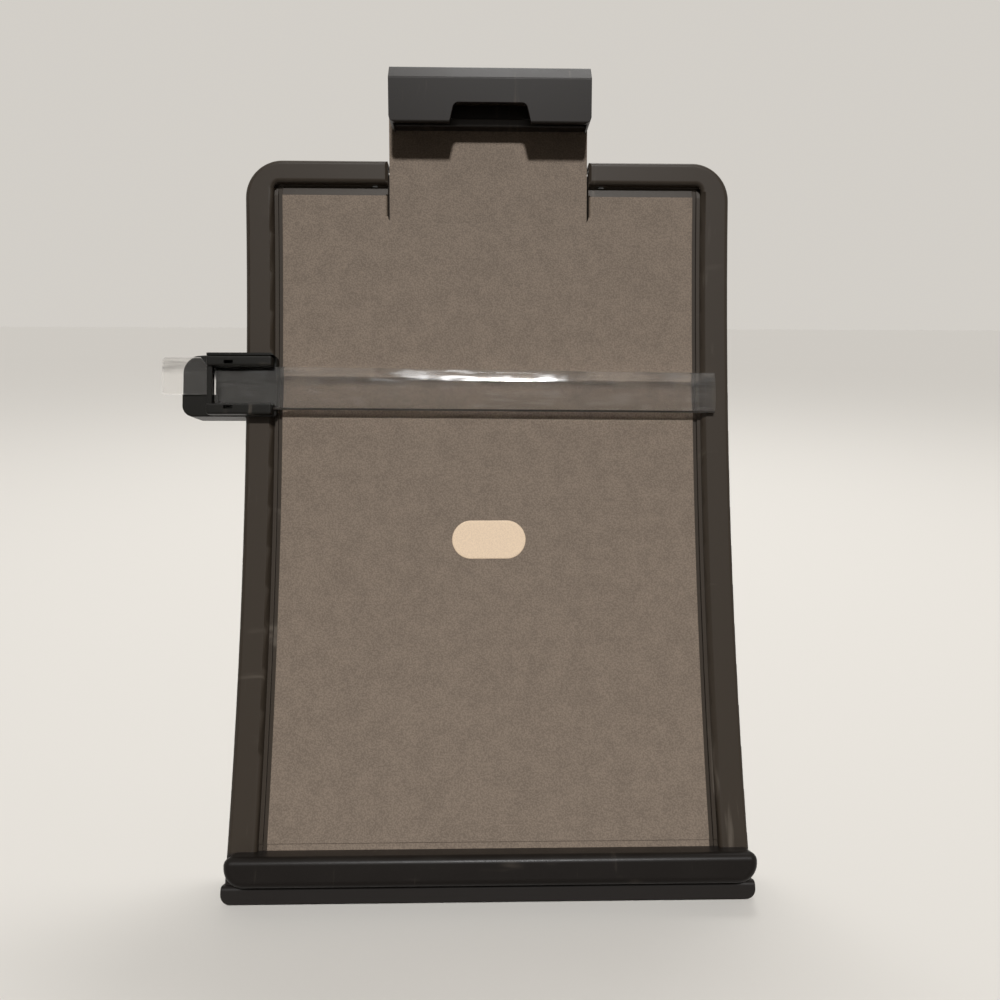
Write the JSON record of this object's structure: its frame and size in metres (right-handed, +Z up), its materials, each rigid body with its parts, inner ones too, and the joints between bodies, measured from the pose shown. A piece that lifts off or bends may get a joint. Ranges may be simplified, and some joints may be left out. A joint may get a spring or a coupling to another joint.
{
  "type": "copy holder with line guide",
  "caption": "Curved document board on a folding leg, with a paper ledge, a sliding plate with a sprung clip and a clear line guide on a side rail",
  "frame": {"origin": "centre of the front foot strip's underside, on the desk", "axes": "+X to the viewer's right, the viewer at -Y, +Z up"},
  "size_m": [0.2797, 0.1561, 0.3719],
  "materials": {
    "board_plastic": "fine grained, semi-matt warm grey",
    "ledge_plastic": "satin dark grey",
    "dark_plastic": "satin near-black",
    "clear_plastic": "clear, polished",
    "steel": "zinc plated",
    "spring_steel": "bright drawn wire and strip",
    "rubber": "matt black",
    "label_paper": "cream, printed side left bare"
  },
  "bodies": {
    "board": {"board_shell": "board_plastic", "ledge": "ledge_plastic", "ledge_screws": "steel", "foot_strip": "rubber", "guide_cover": "board_plastic", "guide_cover_screws": "steel", "plate_detent_spring": "spring_steel", "detent_screw": "steel", "label": "label_paper", "leg_bracket": "dark_plastic", "leg_bracket_screws": "steel", "leg_hinge_pin": "steel", "leg_latch_spring": "spring_steel"},
    "plate": {"extension_plate": "board_plastic", "clip_hinge_pin": "steel", "clip_spring": "spring_steel"},
    "clip": {"clip_flap": "dark_plastic", "clip_pad": "rubber"},
    "guide": {"slider_body": "dark_plastic", "slider_frame": "dark_plastic", "slider_jaw": "dark_plastic", "slider_screws": "steel", "slider_spring": "spring_steel", "line_strip": "clear_plastic"},
    "leg": {"easel_leg": "dark_plastic", "rear_feet": "rubber"}
  },
  "joints": [
    {"name": "plate_slide", "type": "hinge", "parent": "board", "child": "plate", "pos_m": [0, -1.0217, 0.53909], "axis": [1, 0, 0], "range_deg": [-2.19, 0]},
    {"name": "clip_hinge", "type": "hinge", "parent": "plate", "child": "clip", "pos_m": [0, 0.11198, 0.3648], "axis": [-1, 0, 0], "range_deg": [0, 40], "stiffness_Nm_per_rad": 0.06, "springref_deg": -28.65, "deforming": ["clip_spring"]},
    {"name": "line_guide_travel", "type": "hinge", "parent": "board", "child": "guide", "pos_m": [0, -1.0217, 0.53909], "axis": [1, 0, 0], "range_deg": [-10.01, 3.49]},
    {"name": "leg_fold", "type": "hinge", "parent": "board", "child": "leg", "pos_m": [0, 0.07405, 0.13757], "axis": [-1, 0, 0], "range_deg": [0, 46]}
  ]
}
